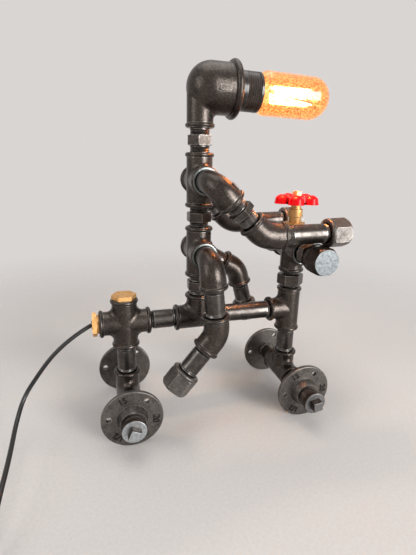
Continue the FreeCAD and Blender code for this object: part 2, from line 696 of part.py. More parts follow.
def limb(pivot_z, side, drop, gap, fold, upper, lower, lower_gap, names):
    """One arm or leg: street elbow, upper nipple, 45 degree elbow, lower nipple and cap.

    The limb leaves its pivot at an angle below +X and folds by 45 degrees, up (-1) or down (1).
    """
    y = f"{side} * {LIMB_Y}"
    knee = f"(centre_to_face + {gap} + obtuse_centre_to_face)"
    knee_x = f"({SEAT_X} + {knee} * cos({drop}))"
    knee_z = f"({pivot_z} - {knee} * sin({drop}))"
    bend = f"({drop} + {fold} * obtuse_angle)"

    def upper_place(item, along):
        return place(item, f"{SEAT_X} + ({along}) * cos({drop})", y, f"{pivot_z} - ({along}) * sin({drop})",
                     tilt=f"90 + {drop}")

    def lower_place(item, along):
        return place(item, f"{knee_x} + ({along}) * cos({bend})", y, f"{knee_z} - ({along}) * sin({bend})",
                     tilt=f"90 + {bend}")

    root, nipples, joint, end = names
    node(root, upper_place(street_elbow(-side), "0"))
    node(joint, upper_place(obtuse_elbow(fold), knee))
    node(nipples, group(upper_place(upper, "centre_to_face"), lower_place(lower, "obtuse_centre_to_face")))
    node(end, lower_place(cap(0 if fold < 0 else 17), f"obtuse_centre_to_face + {lower_gap}"))


def limbs():
    thigh = {"right": "right_thigh", "left": "left_thigh"}
    for hand, side in (("right", -1), ("left", 1)):
        upper = hexagon_nipple("arm_hexagon_nipple_length", "arm_gap", "arm_hexagon_from_face", "hexagon_flats",
                               "arm_hexagon_thickness", 25)
        lower = pipe_nipple("forearm_gap", "forearm_thread_shown")
        names = [hand + part for part in ("_shoulder_elbow", "_arm_nipples", "_arm_elbow", "_hand_cap")]
        limb(SHOULDER_Z, side, "arm_angle", "arm_gap", -1, upper, lower, "forearm_gap", names)
        thigh_gap = thigh[hand] + "_gap"
        shin_gap = hand + "_shin_gap"
        names = [hand + part for part in ("_hip_elbow", "_leg_nipples", "_knee_elbow", "_foot_cap")]
        limb(HIP_Z, side, thigh[hand] + "_angle", thigh_gap, 1, pipe_nipple(thigh_gap), pipe_nipple(shin_gap),
             shin_gap, names)


def badge():
    """A blank pad with round ends, raised on the right of the head's barrel."""
    root = "(-head_barrel_diameter / 2 + badge_root)"
    height = "badge_relief + badge_root"
    reach = "(badge_length - badge_height) / 2"
    middle = add("Part::Box", "middle", Length=f"2 * {reach}", Width=height, Height="badge_height")
    place(middle, f"badge_forward - {reach}", f"{root} - ({height})", "-badge_down - badge_height / 2")
    ends = [rod("badge_height", height, f"badge_forward + {way} * {reach}", root, "-badge_down", "-Y")
            for way in (-1, 1)]
    front = -size("head_barrel_diameter") / 2 - size("badge_relief") + 0.01
    flat = blend(middle, size("badge_edge"),
                 lambda edge: edge.CenterOfMass.y < front and abs(edge.tangentAt(0).x) > 0.9)
    return [flat] + [blend(end, size("badge_edge"), lambda edge: edge.CenterOfMass.y < front) for end in ends]


def head_elbow():
    """A reducing elbow: small outlet down, large outlet forward, with a blank raised badge."""
    back = add("Part::Sphere", "back", Radius="head_barrel_diameter / 2")
    place(back, x="head_back")
    barrel = rod("head_barrel_diameter", "head_mouth - head_back", x="head_back", along="X")
    neck = rod("body_diameter", "neck_to_centre", z="-neck_to_centre")
    cast = blend(fuse(back, barrel, neck), size("head_blend"), is_seam)
    mouth_bead = ring("(head_barrel_diameter + 2 * head_bead_rise)", "head_bead_width",
                      x="head_mouth - head_bead_width / 2", along="X")
    neck_bead = ring("bead_diameter", "bead_width", z="-neck_to_centre + bead_width / 2")
    cavity_diameter = "(head_barrel_diameter - 2 * head_wall)"
    hollow = add("Part::Sphere", "hollow", Radius=f"{cavity_diameter} / 2")
    place(hollow, x="head_back")
    hollow_barrel = rod(cavity_diameter, "head_mouth - head_back - head_socket_depth", x="head_back", along="X")
    socket = rod("head_socket_diameter", "head_socket_depth + head_barrel_diameter",
                 x="head_mouth - head_socket_depth", along="X")
    throat = rod("waterway", "neck_to_centre + 1", z="-neck_to_centre - 1")
    neck_socket = rod(SOCKET, "socket_depth + 1", z="-neck_to_centre - 1")
    return cut(fuse(cast, mouth_bead, neck_bead, *badge()), hollow, hollow_barrel, socket, throat, neck_socket)


def in_mouth(item, out):
    """Puts a piece on the holder's axis, which droops a little from the elbow's mouth."""
    reach = f"(holder_socket_engagement / 2 + {out})"
    return place(item, f"{SEAT_X} + head_mouth - holder_socket_engagement / 2 + {reach} * cos(holder_angle)", "0",
                 f"{HEAD_Z} - {reach} * sin(holder_angle)", tilt="90 + holder_angle")


def lampholder():
    """A black holder with a ringed outside, loose in the elbow, and its brass contacts."""
    shank = rod("head_socket_diameter - 2 * holder_clearance", "holder_socket_engagement",
                z="-holder_socket_engagement")
    turns = int((size("holder_shown") - size("holder_collar") - 1) / size("holder_thread_pitch"))
    last = f"(holder_collar + holder_thread_pitch * {turns})"
    front = [rod("holder_diameter", "holder_collar + 1", z="-1"),
             rod("holder_diameter", f"holder_shown - {last}", z=last)]
    front += ridges("holder_collar", turns, "holder_thread_pitch", "holder_diameter", "holder_thread_depth")
    bore = rod("holder_mouth", "holder_shown + holder_socket_engagement", z="holder_floor - holder_socket_engagement")
    wire_hole = rod("lead_diameter + 1", "holder_floor + 2", z="-holder_socket_engagement - 1")
    holder = cut(fuse(shank, *front), bore, wire_hole)
    node("lampholder", in_mouth(holder, "0"))
    sleeve_z = "holder_floor - holder_socket_engagement + 4"
    sleeve = cut(rod("holder_mouth - 0.1", "contact_sleeve_length", z=sleeve_z),
                 rod("holder_mouth - 0.1 - 2 * contact_sleeve_wall", "contact_sleeve_length + 2",
                     z=f"{sleeve_z} - 1"))
    floor = "(holder_floor - holder_socket_engagement)"
    tongue = rod("9", f"holder_shown + bulb_gap - bulb_cap_length - {floor} - 0.1", z=f"{floor} + 0.1")
    node("lampholder_contacts", in_mouth(group(sleeve, tongue), "0"))


def bulb_shape(inset):
    """The tube of the bulb, with its shoulder near zero and its round end at bulb_length."""
    diameter = f"(bulb_diameter - 2 * {inset})"
    tube_end = f"(bulb_length - bulb_diameter / 2)"
    tube = rod(diameter, f"{tube_end} - {inset}", z=f"{inset}")
    shoulder = size("bulb_shoulder") - float(inset)
    tube = blend(tube, shoulder, lambda edge: edge.Closed and edge.CenterOfMass.z < size("bulb_shoulder"))
    end = add("Part::Sphere", "end", Radius=f"{diameter} / 2")
    place(end, z=tube_end)
    return fuse(tube, end)


def bulb():
    """Glass, screw cap, glass stem and the zigzag filament, along Z from the holder's mouth."""
    neck = rod("bulb_cap_diameter - 3", "bulb_gap + 4", z="-3")
    glass = fuse(bulb_shape("0"), neck)
    hollow = fuse(bulb_shape(str(size("bulb_wall"))), rod("bulb_cap_diameter - 5", "bulb_gap + 6", z="-4"))
    glass = cut(glass, hollow)
    shell = rod("bulb_cap_diameter", "bulb_cap_length - 3", z="-bulb_cap_length + 3")
    tip = rod("bulb_cap_diameter * 0.4", "4", z="-bulb_cap_length")
    inside = rod("bulb_cap_diameter - 2.6", "bulb_cap_length - 5", z="-bulb_cap_length + 6")
    cap = cut(fuse(shell, tip), inside)
    stem = fuse(rod("stem_diameter", "stem_length + 6", z="-6"), rod("bulb_cap_diameter - 5.1", "1.5", z="-2.6"),
                rod("stem_rod_diameter", "filament_start + filament_length + 6", z="-6"))
    corners = []
    strands = size("filament_strands")
    for number in range(strands):
        turn = math.radians(360 * number / strands)
        height = size("filament_start") + (number % 2) * size("filament_length")
        radius = size("filament_circle") / 2
        corners.append(Vector(radius * math.cos(turn), radius * math.sin(turn), height))
    wires = [Part.makeSphere(size("filament_wire") / 2, corner) for corner in corners]
    for start, finish in zip(corners, corners[1:]):
        run = finish - start
        wires.append(Part.makeCylinder(size("filament_wire") / 2, run.Length, start, run))
    for finish in (corners[0], corners[-1]):
        start = Vector(0, 0, size("stem_length") - 1)
        wires.append(Part.makeCylinder(size("filament_wire") / 2, (finish - start).Length, start, finish - start))
    filament = doc.addObject("Part::Feature", "filament")
    filament.Shape = wires[0].multiFuse(wires[1:])
    for name, item in (("bulb_glass", glass), ("bulb_cap", cap), ("bulb_stem", stem), ("bulb_filament", filament)):
        node(name, in_mouth(item, "holder_shown + bulb_gap"))


def tube_along(points, diameter, name, bend=None):
    """A round tube on straight runs joined by tangent arcs, and its length and smallest radius.

    Each arc takes 0.45 of its shorter run, or the named bend radius where one is given.
    """
    edges = []
    radii = []
    start = points[0]
    for before, corner, after in zip(points, points[1:], points[2:]):
        inward = (corner - before).normalize()
        outward = (after - corner).normalize()
        half_turn = inward.getAngle(outward) / 2
        run = min((corner - before).Length, (after - corner).Length)
        radius = bend if bend else 0.45 * run / math.tan(half_turn)
        radii.append(radius)
        reach = radius * math.tan(half_turn)
        first = corner - inward * reach
        last = corner + outward * reach
        middle_way = (outward - inward).normalize()
        centre = corner + middle_way * (radius / math.cos(half_turn))
        edges.append(Part.LineSegment(start, first).toShape())
        edges.append(Part.Arc(first, centre - middle_way * radius, last).toShape())
        start = last
    edges.append(Part.LineSegment(start, points[-1]).toShape())
    path = Part.Wire(edges)
    section = Part.Wire(Part.makeCircle(diameter / 2, points[0], points[1] - points[0]))
    item = doc.addObject("Part::Feature", name)
    item.Shape = path.makePipeShell([section], True, False)
    share = item.Shape.Volume / (math.pi * diameter ** 2 / 4 * path.Length)
    print(f"{name}: {path.Length:.1f} mm long, volume share {share:.4f}, radii",
          " ".join(f"{radius:.0f}" for radius in radii))
    return item


def place_of(label):
    """Where a finished sub-part's own origin is."""
    doc.recompute()
    return next(item for item in NODES if item.Label == label).Placement.Base


def leads():
    """The cable inside the pipes: up to the neck, on to the lampholder, and along to the switch."""
    rear = place_of("rear_cable_plug")
    seat = place_of("seat_tee")
    fork = place_of("fork_tee")
    shoulder = place_of("shoulder_cross")
    head = place_of("head_elbow")
    top = place_of("rotary_switch")
    diameter = size("lead_diameter")
    bend = size("lead_bend")
    entry = rear - Vector(size("plug_thickness") + size("bush_lip"), 0, 0)
    neck_z = shoulder.z + size("centre_to_face") + size("neck_gap")
    run = [entry, seat, Vector(seat.x, seat.y, neck_z)]
    node("frame_lead", tube_along(run, diameter, "frame_lead", bend))
    aside = Vector(0, size("lead_aside"), 0)
    switch_foot = top.z - size("bush_thread") - size("switch_length") - 0.3
    run = [seat + aside - Vector(size("lead_bend"), 0, 0), fork, Vector(fork.x, fork.y, switch_foot)]
    node("switch_lead", tube_along(run, diameter, "switch_lead", bend))
    holder_back = head.x + size("head_mouth") - size("holder_socket_engagement")
    run = [Vector(head.x, 0, neck_z + 0.4), Vector(head.x, 0, head.z), Vector(holder_back + 0.5, 0, head.z)]
    node("head_lead", tube_along(run, diameter, "head_lead", bend))
    return entry


# The mains cord's route, chosen by hand: how far behind the bush, to which side and how high each
# point is.  It falls behind the lamp, swings round to the right, lies down and runs into its coil.
CORD_ROUTE = [
    (15.2, -4.0, 114.5),
    (40.6, -10.0, 96.0),
    (59.6, -11.0, 71.5),
    (75.1, -12.0, 48.5),
    (80.1, -36.0, 33.5),
    (79.1, -63.0, 30.8),
    (78.4, -92.0, 28.8),
    (79.1, -118.0, 25.5),
    (80.6, -140.0, 17.0),
    (82.0, -162.0, 7.0),
    (81.6, -182.0, 3.0),
    (81.9, -200.0, 3.0),
]
# How much further along the coil's middle lies than the route's end.
COIL_PAST_END = 10.0


def cord(entry):
    """The cord, its put-away length in a tied coil on the table, and its plug beside it."""
    diameter = size("cord_diameter")
    route = [entry] + [Vector(entry.x - back, aside, height) for back, aside, height in CORD_ROUTE]
    node("mains_cord", tube_along(route, diameter, "mains_cord"))
    half_band = "(coil_turns_across * cord_diameter / 2)"
    height = "(coil_layers * cord_diameter)"
    lift = "(tie_thickness + tie_clearance)"
    middle_x = str(route[-1].x - (size("coil_diameter") + (size("coil_turns_across") - 1) * diameter) / 2)
    middle_y = str(route[-1].y - COIL_PAST_END)
    coil = cut(rod(f"coil_diameter + 2 * {half_band}", height), rod(f"coil_diameter - 2 * {half_band}", "60", z="-9"))
    node("cord_coil", place(coil, middle_x, middle_y, lift))
    hole = f"(coil_diameter / 2 - {half_band})"
    curved_by = f"({hole} - sqrt({hole} * {hole} - tie_width * tie_width / 4))"
    inner_width = f"(2 * {half_band} + 2 * tie_clearance + {curved_by})"
    inner_height = f"({height} + 2 * tie_clearance)"
    inner = add("Part::Box", "inner", Length="tie_width + 2", Width=inner_width, Height=inner_height)
    place(inner, "-1", "tie_thickness", "tie_thickness")
    outer = add("Part::Box", "outer", Length="tie_width", Width=f"{inner_width} + 2 * tie_thickness",
                Height=f"{inner_height} + 2 * tie_thickness")
    low = f"{middle_y} - coil_diameter / 2 - {half_band} - tie_clearance - tie_thickness"
    node("cord_tie", place(cut(outer, inner), f"{middle_x} - tie_width / 2", low, "0"))
    node("mains_plug", mains_plug(middle_x, middle_y, half_band))


def mains_plug(coil_x, coil_y, half_band):
    """A two-pin plug with its sleeve, flat on the table beside the coil."""
    body = add("Part::Box", "body", Length="mains_plug_width", Width="mains_plug_length",
               Height="mains_plug_thickness")
    place(body, "-mains_plug_width / 2", "mains_plug_sleeve", "-mains_plug_thickness / 2")
    body = blend(body, 3.0, lambda edge: True)
    sleeve = add("Part::Cone", "sleeve", Radius1="mains_plug_sleeve_diameter / 3",
                 Radius2="mains_plug_sleeve_diameter / 2", Height="mains_plug_sleeve + 4")
    place(sleeve, along="Y")
    pins = [rod("pin_diameter", "pin_length + 4", f"{side} * pin_spacing / 2",
                "mains_plug_sleeve + mains_plug_length - 4", along="Y") for side in (-1, 1)]
    outer_turn = f"(coil_diameter / 2 + {half_band} - 1.5 * cord_diameter)"
    rim = f"(coil_diameter / 2 + {half_band})"
    start = f"{coil_y} + sqrt({rim} * {rim} - {outer_turn} * {outer_turn}) - 1"
    return place(fuse(body, sleeve, *pins), f"{coil_x} - {outer_turn}", start, "mains_plug_thickness / 2")


for make in (chassis, wheels, brass_plugs, torso, handlebar, bonnet, handwheel, limbs):
    make()
node("head_elbow", place(head_elbow(), x=SEAT_X, z=HEAD_Z))
lampholder()
bulb()
cord(leads())

doc.recompute()
faults = [item.Name for item in doc.Objects if "Invalid" in item.State or "Error" in item.State]
for item in NODES:
    if item.Shape.isNull() or not item.Shape.isValid():
        faults.append(item.Label)
if faults:
    raise RuntimeError("these did not build: " + ", ".join(faults))

os.makedirs("parts", exist_ok=True)
for item in NODES:
    item.Shape.exportStep(os.path.join("parts", item.Label + ".step"))
print(len(NODES), "sub-parts")
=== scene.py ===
import bmesh
import bpy
import json
import math
from mathutils import Matrix, Vector


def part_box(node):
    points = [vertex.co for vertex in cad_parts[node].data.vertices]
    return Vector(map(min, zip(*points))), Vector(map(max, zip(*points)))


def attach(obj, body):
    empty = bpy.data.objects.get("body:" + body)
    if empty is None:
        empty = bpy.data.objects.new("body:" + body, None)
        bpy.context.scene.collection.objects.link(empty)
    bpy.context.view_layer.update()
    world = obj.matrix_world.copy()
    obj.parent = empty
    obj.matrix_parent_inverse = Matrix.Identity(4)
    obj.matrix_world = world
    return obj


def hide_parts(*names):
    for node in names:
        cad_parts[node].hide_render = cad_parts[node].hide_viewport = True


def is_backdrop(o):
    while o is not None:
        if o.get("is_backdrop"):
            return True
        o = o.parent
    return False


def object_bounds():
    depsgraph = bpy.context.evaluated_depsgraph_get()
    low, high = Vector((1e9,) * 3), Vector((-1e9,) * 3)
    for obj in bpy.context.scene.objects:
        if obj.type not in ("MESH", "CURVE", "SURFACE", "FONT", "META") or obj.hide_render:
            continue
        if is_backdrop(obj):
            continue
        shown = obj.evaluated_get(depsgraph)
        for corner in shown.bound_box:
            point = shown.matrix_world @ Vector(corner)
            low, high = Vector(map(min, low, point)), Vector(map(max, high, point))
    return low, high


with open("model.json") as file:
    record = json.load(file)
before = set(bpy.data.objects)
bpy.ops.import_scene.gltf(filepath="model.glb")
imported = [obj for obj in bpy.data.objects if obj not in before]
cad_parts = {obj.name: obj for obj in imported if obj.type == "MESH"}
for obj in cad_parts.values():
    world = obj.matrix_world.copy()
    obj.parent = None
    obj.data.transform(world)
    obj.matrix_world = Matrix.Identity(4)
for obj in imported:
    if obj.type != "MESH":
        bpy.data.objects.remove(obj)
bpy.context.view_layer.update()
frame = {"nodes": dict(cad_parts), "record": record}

# %% [markdown]
# # A table lamp made of iron pipe fittings
# The lamp is a figure, screwed together from half-inch pipe fittings, that rides a four-wheeled
# frame of the same fittings.  The CAD model brings every fitting at its real size.  This script
# gives each one its surface: cast, drawn, turned, enamelled, moulded or blown, and adds the soft
# cable and the small cast details that the CAD solids leave out.

# %% [markdown]
# ## Colours and nodes
# Colours are written as the hex values that a colour picker shows.  Blender's shaders want linear
# light, so one function converts them.  One more adds a node with its settings and its links, and
# every material below is made of its calls.  A Mix node has sockets for each kind of value, with the
# same names, so the four that mix colours are known by their numbers, and those get names here.

# %% Helpers for colours and nodes
NODES = frame["nodes"]
MM = 0.001
SHARE, UNDER, OVER = 0, 6, 7
MIXED = 2
NOISE_MIDDLE = {"From Min": 0.32, "From Max": 0.68}


def linear(hex_colour):
    """The linear RGBA of an sRGB hex colour."""
    channels = [int(hex_colour[i:i + 2], 16) / 255 for i in (1, 3, 5)]
    return [c / 12.92 if c <= 0.04045 else ((c + 0.055) / 1.055) ** 2.4 for c in channels] + [1.0]


def add_node(material, kind, inputs=None, **settings):
    """Adds a node.  An input is a value, a hex colour, a socket, or a node for its first output."""
    tree = material.node_tree
    node = tree.nodes.new(kind)
    for name, value in settings.items():
        setattr(node, name, value)
    for name, value in (inputs or {}).items():
        if isinstance(value, bpy.types.Node):
            value = value.outputs[0]
        if isinstance(value, bpy.types.NodeSocket):
            tree.links.new(value, node.inputs[name])
        elif isinstance(value, str):
            node.inputs[name].default_value = linear(value)
        else:
            node.inputs[name].default_value = value
    return node


def new_material(name):
    """A material with an empty node tree."""
    material = bpy.data.materials.new(name)
    material.use_nodes = True
    material.node_tree.nodes.clear()
    return material


def per_mm(millimetres):
    """The scale at which a noise in metres has features of this size."""
    return 1 / (millimetres * MM)


# %% [markdown]
# ## The view
# The camera stands a little behind the lamp's middle on its right side, at the height of the arms,
# and looks forward and down.  It is close, 0.4 m, so near pieces look clearly larger than far ones:
# a long lens would flatten the wheels.

# %% Camera
CAMERA_PLACE = Vector((-0.12217, -0.40867, 0.29545))
CAMERA_YAW = math.radians(17.12)
CAMERA_PITCH = math.radians(16.85)
CAMERA_ROLL = math.radians(1.35)
SENSOR_WIDTH = 36
PICTURE_HEIGHT = 555
FOCAL_PIXELS = 378.3
PICTURE_MIDDLE = (208.0, 277.5)
OPTICAL_MIDDLE = (213.8, 278.4)

ahead = Vector((math.sin(CAMERA_YAW) * math.cos(CAMERA_PITCH),
                math.cos(CAMERA_YAW) * math.cos(CAMERA_PITCH), -math.sin(CAMERA_PITCH)))
level_right = Vector((math.cos(CAMERA_YAW), -math.sin(CAMERA_YAW), 0))
level_up = level_right.cross(ahead)
right = level_right * math.cos(CAMERA_ROLL) + level_up * math.sin(CAMERA_ROLL)
up = level_up * math.cos(CAMERA_ROLL) - level_right * math.sin(CAMERA_ROLL)
camera_data = bpy.data.cameras.new("camera")
camera_data.sensor_width = SENSOR_WIDTH
camera_data.lens = FOCAL_PIXELS / PICTURE_HEIGHT * SENSOR_WIDTH
camera_data.shift_x = (PICTURE_MIDDLE[0] - OPTICAL_MIDDLE[0]) / PICTURE_HEIGHT
camera_data.shift_y = (OPTICAL_MIDDLE[1] - PICTURE_MIDDLE[1]) / PICTURE_HEIGHT
camera = bpy.data.objects.new("camera", camera_data)
camera.matrix_world = Matrix((right, up, -ahead)).transposed().to_4x4()
camera.location = CAMERA_PLACE
bpy.context.collection.objects.link(camera)
bpy.context.scene.camera = camera
print(f"camera lens {camera_data.lens:.1f} mm")

# %% [markdown]
# ## Cast iron: its skin and its grain
# Malleable fittings are cast in sand, tumbled against each other and dipped in oil.  The oil dries
# to a dark brown-grey skin in patches, some glossier than others.  Two noises could paint tone and
# gloss apart, but on the real skin they go together, so one soft noise sets both.  A noise seldom
# leaves its middle, so that part of it is stretched to the full range.  The sand leaves a grain all
# over, which shows as lighter specks in the colour and as bumps in the shading.

# %% Patches, specks and relief
# Moulding sand has grains of about 0.3 mm.  They are drawn at 1.3 mm, or they wouldn't show.
SAND_GRAIN = 1.3
OIL_PATCH = 14.0


def patches(material, place, dark, light, size_mm):
    """Soft patches of two tones.  Gives how light each place is, from 0 to 1, and its colour."""
    cloud = add_node(material, "ShaderNodeTexNoise", {
        "Vector": place, "Scale": per_mm(size_mm), "Detail": 4.0, "Roughness": 0.6})
    lightness = add_node(material, "ShaderNodeMapRange", {"Value": cloud} | NOISE_MIDDLE)
    colour = add_node(material, "ShaderNodeMix", {
        SHARE: lightness, UNDER: dark, OVER: light}, data_type="RGBA").outputs[MIXED]
    return lightness, colour


def sand_specks(material, place, colour, speck, size_mm, most):
    """Lighter grains scattered over a colour."""
    grain = add_node(material, "ShaderNodeTexNoise", {
        "Vector": place, "Scale": per_mm(size_mm), "Detail": 2.0})
    share = add_node(material, "ShaderNodeMapRange", {
        "Value": grain, "From Min": 0.45, "From Max": 0.72, "To Max": most})
    return add_node(material, "ShaderNodeMix", {
        SHARE: share, UNDER: colour, OVER: speck}, data_type="RGBA").outputs[MIXED]


def relief(material, place, bumps):
    """Bumps of one or more sizes in millimetres, each laid over the one before."""
    under = {}
    for size_mm, strength, depth_mm in bumps:
        height = add_node(material, "ShaderNodeTexNoise", {
            "Vector": place, "Scale": per_mm(size_mm), "Detail": 3.0})
        bump = add_node(material, "ShaderNodeBump", {
            "Height": height, "Strength": strength, "Distance": depth_mm * MM} | under)
        under = {"Normal": bump}
    return under


print(f"sand grain {SAND_GRAIN} mm, oil patches {OIL_PATCH} mm")

# %% [markdown]
# ## Cast iron: its wear, and painted light and shade
# Noise alone would wear every place alike.  Tumbling rubs edges and beads to lighter metal, and a
# Bevel node finds them: there its rounded normal leaves the true one.  That lighter colour is also a
# painted highlight on the bead rims.  Corners, slots and recesses get a darker colour as painted
# shade, which an Ambient Occlusion node finds.  A lathe has faced some socket mouths bright, and
# those are known by where they lie and which way they face.

# %% Worn and painted-lit edges, painted shade in corners, and faced mouths
# Reaches in millimetres: of the worn, painted-lit edges, and of the painted shade in corners.
EDGE_REACH = 0.9
SHADE_REACH = 3.5
MOUTH_FACE = 28.4
MOUTH_DEPTH = 0.3
LEAST_EDGE_SHARE = 0.35


def edge_wear_and_highlight(material, lightness, colour, worn_lit_colour, most):
    """Lighter edges and beads, partly worn metal and partly a painted highlight, more where patches are
    light.
    """
    rounded = add_node(material, "ShaderNodeBevel", {"Radius": EDGE_REACH * MM}, samples=4)
    true = add_node(material, "ShaderNodeNewGeometry").outputs["Normal"]
    alike = add_node(material, "ShaderNodeVectorMath", {
        0: rounded, 1: true}, operation="DOT_PRODUCT").outputs["Value"]
    edge = add_node(material, "ShaderNodeMapRange", {
        "Value": alike, "From Min": 0.90, "From Max": 0.995, "To Min": 1.0, "To Max": 0.0})
    wear_and_light = add_node(material, "ShaderNodeMapRange", {
        "Value": lightness, "To Min": LEAST_EDGE_SHARE, "To Max": most})
    share = add_node(material, "ShaderNodeMath", {0: edge, 1: wear_and_light}, operation="MULTIPLY")
    return add_node(material, "ShaderNodeMix", {
        SHARE: share, UNDER: colour, OVER: worn_lit_colour}, data_type="RGBA").outputs[MIXED]


def painted_corner_shade(material, colour, dark):
    """Painted shade: a darker colour deep in corners, slots and recesses."""
    open_sky = add_node(material, "ShaderNodeAmbientOcclusion", {
        "Distance": SHADE_REACH * MM}, samples=6).outputs["AO"]
    share = add_node(material, "ShaderNodeMapRange", {
        "Value": open_sky, "From Min": 0.25, "From Max": 0.8, "To Min": 1.0, "To Max": 0.0})
    return add_node(material, "ShaderNodeMix", {
        SHARE: share, UNDER: colour, OVER: dark}, data_type="RGBA").outputs[MIXED]


def faced_mouths(material, place, colour, bright):
    """The turned rings where a socket's mouth faces sideways along Y."""
    normal = add_node(material, "ShaderNodeTexCoord").outputs["Normal"]
    where_bright = ((normal, 0.9, 0.97), (place, (MOUTH_FACE - MOUTH_DEPTH) * MM, MOUTH_FACE * MM))
    found = []
    for vector, start, end in where_bright:
        sideways = add_node(material, "ShaderNodeSeparateXYZ", {"Vector": vector}).outputs["Y"]
        size = add_node(material, "ShaderNodeMath", {0: sideways}, operation="ABSOLUTE")
        found.append(add_node(material, "ShaderNodeMapRange", {
            "Value": size, "From Min": start, "From Max": end}))
    share = add_node(material, "ShaderNodeMath", {0: found[0], 1: found[1]}, operation="MULTIPLY")
    return add_node(material, "ShaderNodeMix", {
        SHARE: share, UNDER: colour, OVER: bright}, data_type="RGBA").outputs[MIXED]


print(f"wear reaches {EDGE_REACH} mm from an edge, old oil {SHADE_REACH} mm from a corner")

# %% [markdown]
# ## One recipe for every solid surface
# Each surface is the same layers in the same order, and a finish leaves out those that it hasn't
# got.  Ten separate node trees would say the same thing ten times, so one function stacks the
# layers, and each finish below is one call of it.

# %% The layers of a surface
def surface(name, tones, roughness, metallic, bumps, specks=None, rubbed=None, faced=None, oil=None,
            **extra):
    """Patches set tone and gloss.  Specks, worn painted-lit edges, faced mouths and painted shade lie over
    them.
    """
    material = new_material(name)
    place = add_node(material, "ShaderNodeTexCoord").outputs["Object"]
    lightness, colour = patches(material, place, *tones)
    if specks:
        colour = sand_specks(material, place, colour, *specks)
    if rubbed:
        colour = edge_wear_and_highlight(material, lightness, colour, *rubbed)
    if faced:
        colour = faced_mouths(material, place, colour, faced)
    if oil:
        colour = painted_corner_shade(material, colour, oil)
    gloss = add_node(material, "ShaderNodeMapRange", {
        "Value": lightness, "To Min": roughness[0], "To Max": roughness[1]})
    inputs = {"Base Color": colour, "Roughness": gloss, "Metallic": metallic}
    inputs |= relief(material, place, bumps) | extra
    shader = add_node(material, "ShaderNodeBsdfPrincipled", inputs)
    add_node(material, "ShaderNodeOutputMaterial", {"Surface": shader})
    return material


# %% Cast iron, oiled and tumbled
# Malleable iron, sand cast, tumbled and oiled: dark brown-grey, softly glossy.  Its beads are lighter,
# partly from wear and partly as a painted highlight, and its corners darker as painted shade.
CAST = {
    "tones": ("#302a27", "#433c37", OIL_PATCH), "roughness": (0.34, 0.26), "metallic": 0.85,
    "bumps": ((6.0, 0.3, 0.5), (SAND_GRAIN, 0.9, 0.22)), "specks": ("#7d7670", SAND_GRAIN, 0.3),
    "rubbed": ("#b4aea8", 1.0), "oil": "#120e0c",
}
IRON = surface("sand_cast_malleable_iron", **CAST)

# The same iron on the crosses, whose socket mouths are turned on a lathe: dull bright rings.
FACED_IRON = surface("cast_iron_with_faced_mouths", faced="#7f8482", **CAST)

# The same iron tumbled longer and oiled less, on flanges and limb caps: greyer, duller, specked.
# Its edges carry wear and a painted highlight, and its corners painted shade.
FLANGE_IRON = surface("tumbled_flange_iron", ("#403c39", "#65605c", 9.0), (0.44, 0.34), 0.85,
                      ((SAND_GRAIN, 0.8, 0.2),), specks=("#8f8a85", 1.2, 0.4), rubbed=("#c6beb6", 1.0),
                      oil="#171310")

# The same iron on the raised figures, nearly black and dull: painted shade, for the shadow that
# makes cast figures look dark.
SHADE_DARK_FIGURE_IRON = surface("cast_figures_in_painted_shade", ("#1f1b19", "#2c2724", 6.0), (0.5, 0.4), 0.5,
                      ((SAND_GRAIN, 0.5, 0.1),))
print("cast irons:", IRON.name, FACED_IRON.name, FLANGE_IRON.name, SHADE_DARK_FIGURE_IRON.name)

# %% [markdown]
# ## Steel nipples, brass, enamel and plastic
# These are smoother than the castings, and each is made another way, which shows in its gloss.  A
# drawn tube mirrors the room in long soft streaks, sawn brass scatters it, enamel has a small sharp
# highlight, and moulded plastic is black with lighter edges, partly worn and partly a painted
# highlight.  A plain colour and gloss would look like a toy, so each has faint patches and bumps,
# drawn coarser than real tool marks to show.

# %% Drawn steel, brass, enamel and plastic
# Drawn steel pipe under a smooth dark oxide: long soft streaks of light.  Its edges are lighter from
# wear and a painted highlight, and its corners darker as painted shade.
STEEL = surface("drawn_steel_pipe", ("#3c3835", "#5d5854", 7.0), (0.36, 0.24), 0.95, ((1.2, 0.15, 0.08),),
                rubbed=("#b0aca8", 0.9), oil="#1c1815")

# Brass sawn and turned from bar: warm, satin, paler on its corners from wear and a painted highlight.
BRASS = surface("sawn_brass_bar", ("#c48f50", "#e6bb82", 4.0), (0.55, 0.45), 1.0, ((0.8, 0.3, 0.1),),
                rubbed=("#f0d0a0", 0.6))

# Red enamel, dipped thick: deep colour, a small sharp highlight, and painted shade that makes its slots
# almost black.
RED = surface("glossy_red_enamel", ("#b0000a", "#cc0410", 9.0), (0.3, 0.24), 0.0, ((3.0, 0.1, 0.3),),
              oil="#300004", **{"Specular IOR Level": 0.2})

# Phenolic plastic, moulded: brown-black and glossy, its rings lighter from wear and a painted
# highlight, with painted shade in its recesses.
BLACK = surface("moulded_black_phenolic", ("#1a1614", "#2a231f", 7.0), (0.28, 0.2), 0.0, ((4.0, 0.08, 0.1),),
                rubbed=("#7a6a5e", 1.0), oil="#080605")

# Soft PVC, extruded over the cores: even black with a broad dull shine.
SHEATH = surface("black_pvc_sheath", ("#0e0e0e", "#1a1a1a", 12.0), (0.38, 0.3), 0.0, ((0.8, 0.15, 0.1),))
print("smooth finishes:", STEEL.name, BRASS.name, RED.name, BLACK.name, SHEATH.name)

# %% [markdown]
# ## Ground ends
# The handlebar caps and the wheel plugs are brown with oil on their sides and ground bright on their
# ends.  Two materials on one mesh would need its faces sorted.  The ends all face sideways, so the
# object's own normal tells them apart, and the front plugs are polished less than the rear ones.

# %% Caps and plugs
# A grinding wheel leaves scratches of about 0.1 mm.  They are drawn at 2.6 mm, so that they show.
SCRATCH = 2.6
OILY_BROWN = ("#2f2824", "#544a43")


